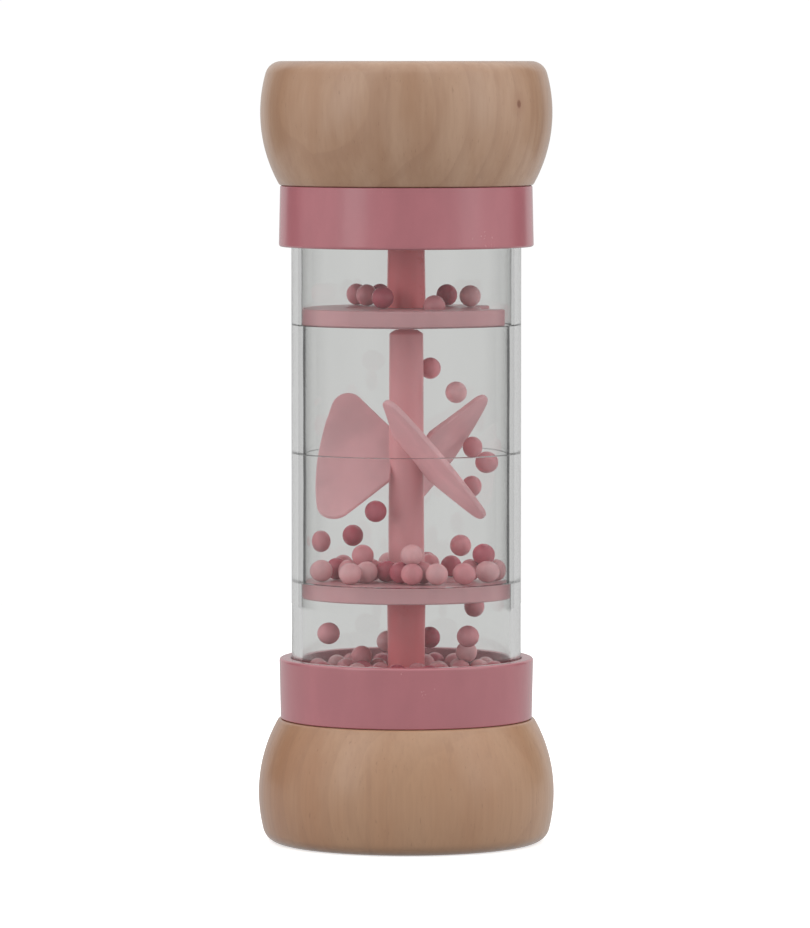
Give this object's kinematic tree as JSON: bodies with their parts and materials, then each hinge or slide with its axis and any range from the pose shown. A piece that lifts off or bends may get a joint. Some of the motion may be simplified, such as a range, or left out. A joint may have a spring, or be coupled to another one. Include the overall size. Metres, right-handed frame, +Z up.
{
  "type": "rainstick",
  "caption": "Baby rainmaker rattle: clear tube between turned wooden caps, with sieve discs, a free-turning paddle spinner and loose beads that patter down when it is turned over.",
  "frame": {"origin": "centre of the base cap's flat face, on the surface that the object stands on", "axes": "+Z up along the tube; +X to the viewer's right and -Y towards the viewer when the upper disc's notch is on the right"},
  "size_m": [0.0568, 0.0568, 0.15],
  "materials": {
    "beech_wood": "turned and sanded, satin clear lacquer",
    "pink_plastic": "moulded, semi-gloss",
    "clear_plastic": "clear, polished",
    "disc_pink": "moulded, slightly translucent",
    "post_rose": "moulded, semi-gloss",
    "shaft_pink": "moulded, semi-gloss",
    "paddle_pink": "thin moulded blades, translucent",
    "bead_dark": "glossy",
    "bead_rose": "glossy",
    "bead_light": "glossy",
    "screw_steel": "zinc plated"
  },
  "bodies": {
    "case": {"base_cap": "beech_wood", "top_cap": "beech_wood", "base_collar": "pink_plastic", "top_collar": "pink_plastic", "base_end_plate": "pink_plastic", "top_end_plate": "pink_plastic", "tube_ring_top": "clear_plastic", "tube_ring_upper": "clear_plastic", "tube_ring_lower": "clear_plastic", "tube_ring_base": "clear_plastic", "upper_sieve_disc": "disc_pink", "lower_sieve_disc": "disc_pink", "upper_post": "post_rose", "lower_post": "post_rose", "base_cap_screw": "screw_steel", "top_cap_screw": "screw_steel"},
    "spinner": {"spinner_shaft": "shaft_pink", "spinner_paddles": "paddle_pink"},
    "top_beads": {"top_beads_dark": "bead_dark", "top_beads_rose": "bead_rose", "top_beads_light": "bead_light"},
    "middle_beads": {"middle_beads_dark": "bead_dark", "middle_beads_rose": "bead_rose", "middle_beads_light": "bead_light"},
    "base_beads": {"base_beads_dark": "bead_dark", "base_beads_rose": "bead_rose", "base_beads_light": "bead_light"},
    "falling_bead_01": {"falling_bead_01": "bead_rose"},
    "falling_bead_02": {"falling_bead_02": "bead_rose"},
    "falling_bead_03": {"falling_bead_03": "bead_light"},
    "falling_bead_04": {"falling_bead_04": "bead_dark"},
    "falling_bead_05": {"falling_bead_05": "bead_rose"},
    "falling_bead_06": {"falling_bead_06": "bead_rose"},
    "falling_bead_07": {"falling_bead_07": "bead_rose"},
    "falling_bead_08": {"falling_bead_08": "bead_dark"},
    "falling_bead_09": {"falling_bead_09": "bead_dark"},
    "falling_bead_10": {"falling_bead_10": "bead_rose"},
    "falling_bead_11": {"falling_bead_11": "bead_rose"},
    "falling_bead_12": {"falling_bead_12": "bead_rose"},
    "falling_bead_13": {"falling_bead_13": "bead_rose"},
    "falling_bead_14": {"falling_bead_14": "bead_light"},
    "falling_bead_15": {"falling_bead_15": "bead_dark"},
    "falling_bead_16": {"falling_bead_16": "bead_rose"}
  },
  "joints": [
    {"name": "spinner_turn", "type": "hinge", "parent": "case", "child": "spinner", "pos_m": [0, 0, 0.0743], "axis": [0, 0, 1], "continuous": true},
    {"name": "top_beads_lift", "type": "slide", "parent": "case", "child": "top_beads", "axis": [0, 0, 1], "range_m": [0, 0.012]},
    {"name": "middle_beads_lift", "type": "slide", "parent": "case", "child": "middle_beads", "axis": [0, 0, 1], "range_m": [0, 0.003]},
    {"name": "base_beads_lift", "type": "slide", "parent": "case", "child": "base_beads", "axis": [0, 0, 1], "range_m": [0, 0.0027]},
    {"name": "falling_bead_01_drop", "type": "slide", "parent": "case", "child": "falling_bead_01", "axis": [0, 0, 1], "range_m": [-0.0267, 0.0136]},
    {"name": "falling_bead_02_drop", "type": "slide", "parent": "case", "child": "falling_bead_02", "axis": [0, 0, 1], "range_m": [-0.011, 0.0064]},
    {"name": "falling_bead_03_drop", "type": "slide", "parent": "case", "child": "falling_bead_03", "axis": [0, 0, 1], "range_m": [-0.0023, 0.0107]},
    {"name": "falling_bead_04_drop", "type": "slide", "parent": "case", "child": "falling_bead_04", "axis": [0, 0, 1], "range_m": [-0.0238, 0.0184]},
    {"name": "falling_bead_05_drop", "type": "slide", "parent": "case", "child": "falling_bead_05", "axis": [0, 0, 1], "range_m": [-0.0005, 0.0006]},
    {"name": "falling_bead_06_drop", "type": "slide", "parent": "case", "child": "falling_bead_06", "axis": [0, 0, 1], "range_m": [-0.0085, 0.024]},
    {"name": "falling_bead_07_drop", "type": "slide", "parent": "case", "child": "falling_bead_07", "axis": [0, 0, 1], "range_m": [-0.0132, 0.0034]},
    {"name": "falling_bead_08_drop", "type": "slide", "parent": "case", "child": "falling_bead_08", "axis": [0, 0, 1], "range_m": [-0.0049, 0.0004]},
    {"name": "falling_bead_09_drop", "type": "slide", "parent": "case", "child": "falling_bead_09", "axis": [0, 0, 1], "range_m": [-0.0032, 0.016]},
    {"name": "falling_bead_10_drop", "type": "slide", "parent": "case", "child": "falling_bead_10", "axis": [0, 0, 1], "range_m": [-0.003, 0.0137]},
    {"name": "falling_bead_11_drop", "type": "slide", "parent": "case", "child": "falling_bead_11", "axis": [0, 0, 1], "range_m": [-0.0043, 0.0213]},
    {"name": "falling_bead_12_drop", "type": "slide", "parent": "case", "child": "falling_bead_12", "axis": [0, 0, 1], "range_m": [-0.0095, 0.0041]},
    {"name": "falling_bead_13_drop", "type": "slide", "parent": "case", "child": "falling_bead_13", "axis": [0, 0, 1], "range_m": [-0.0076, 0.0043]},
    {"name": "falling_bead_14_drop", "type": "slide", "parent": "case", "child": "falling_bead_14", "axis": [0, 0, 1], "range_m": [-0.0027, 0.007]},
    {"name": "falling_bead_15_drop", "type": "slide", "parent": "case", "child": "falling_bead_15", "axis": [0, 0, 1], "range_m": [-0.0057, 0.0062]},
    {"name": "falling_bead_16_drop", "type": "slide", "parent": "case", "child": "falling_bead_16", "axis": [0, 0, 1], "range_m": [-0.0071, 0.0048]}
  ]
}
